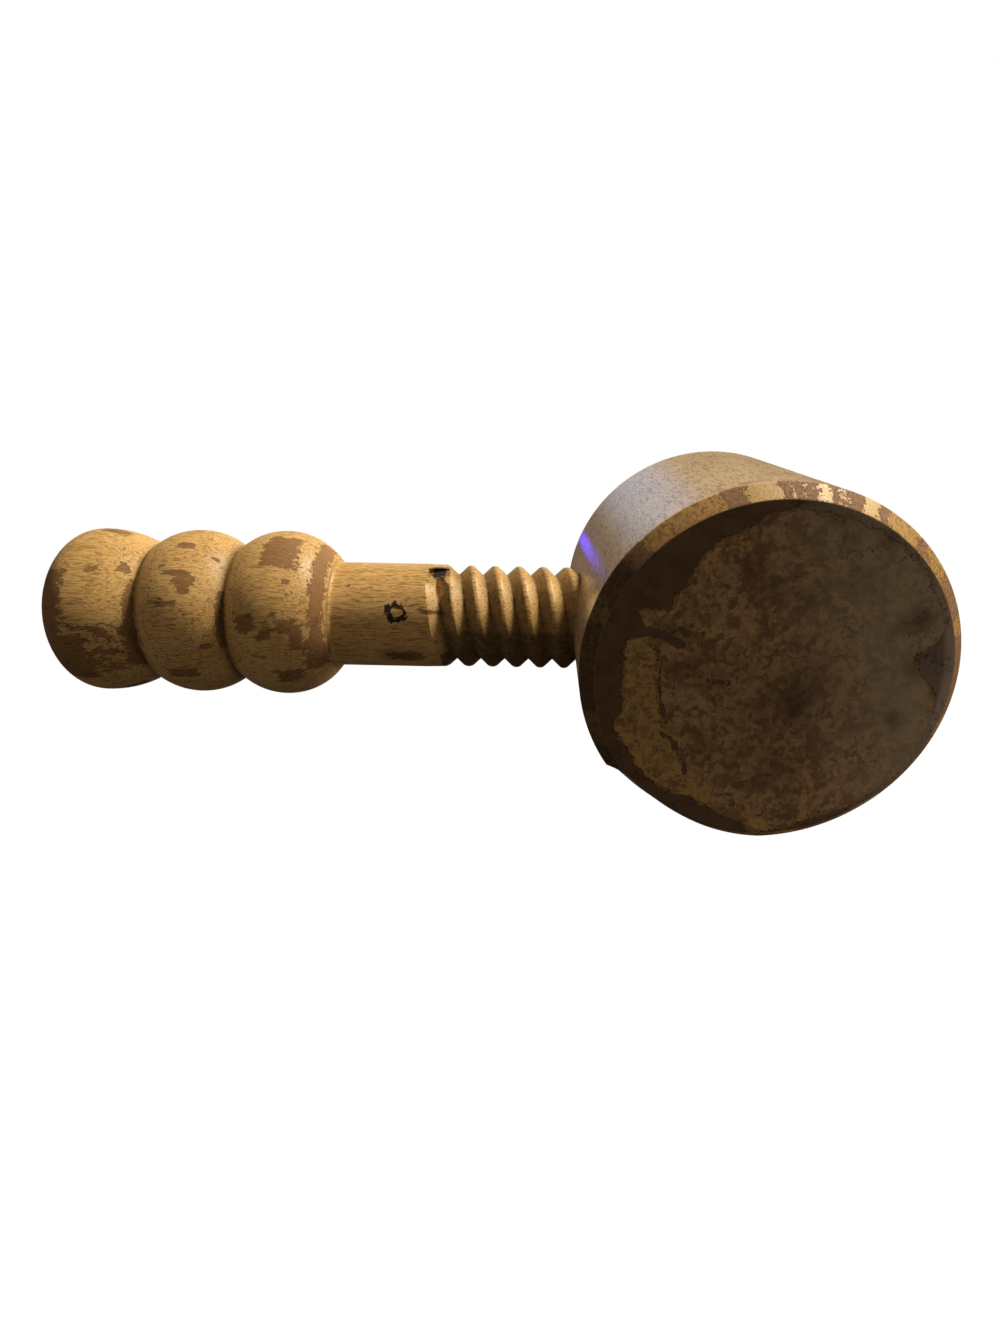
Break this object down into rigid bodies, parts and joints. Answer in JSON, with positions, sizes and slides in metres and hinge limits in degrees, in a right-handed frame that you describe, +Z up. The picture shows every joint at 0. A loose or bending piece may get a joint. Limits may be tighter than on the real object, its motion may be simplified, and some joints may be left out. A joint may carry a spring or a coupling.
{
  "type": "screw nutcracker",
  "caption": "Turned wooden cup with a coarse wooden screw through its wall; turning the bulbed handle presses a nut against the far wall.",
  "frame": {"origin": "centre of the cup's flat base, on the surface that it stands on", "axes": "+Z up through the cup's mouth; the screw lies along X, with its handle towards -X"},
  "size_m": [0.1519, 0.057, 0.0551],
  "materials": {
    "cup_wood": "worn varnish, flaking",
    "screw_wood": "golden varnish, flaking"
  },
  "bodies": {
    "cup": {"cup": "cup_wood"},
    "nose": {"screw_nose": "screw_wood"},
    "screw": {"screw": "screw_wood"}
  },
  "joints": [
    {"name": "screw_advance", "type": "slide", "parent": "cup", "child": "nose", "axis": [1, 0, 0], "range_m": [-0.0177, 0.0229]},
    {"name": "screw_turn", "type": "hinge", "parent": "nose", "child": "screw", "pos_m": [-0.0113, 0, 0.02965], "axis": [1, 0, 0], "range_deg": [-720, 935]}
  ],
  "couplings": [
    {"joint": "screw_advance", "follows": "screw_turn", "m_per_rad": 0.0014006}
  ]
}
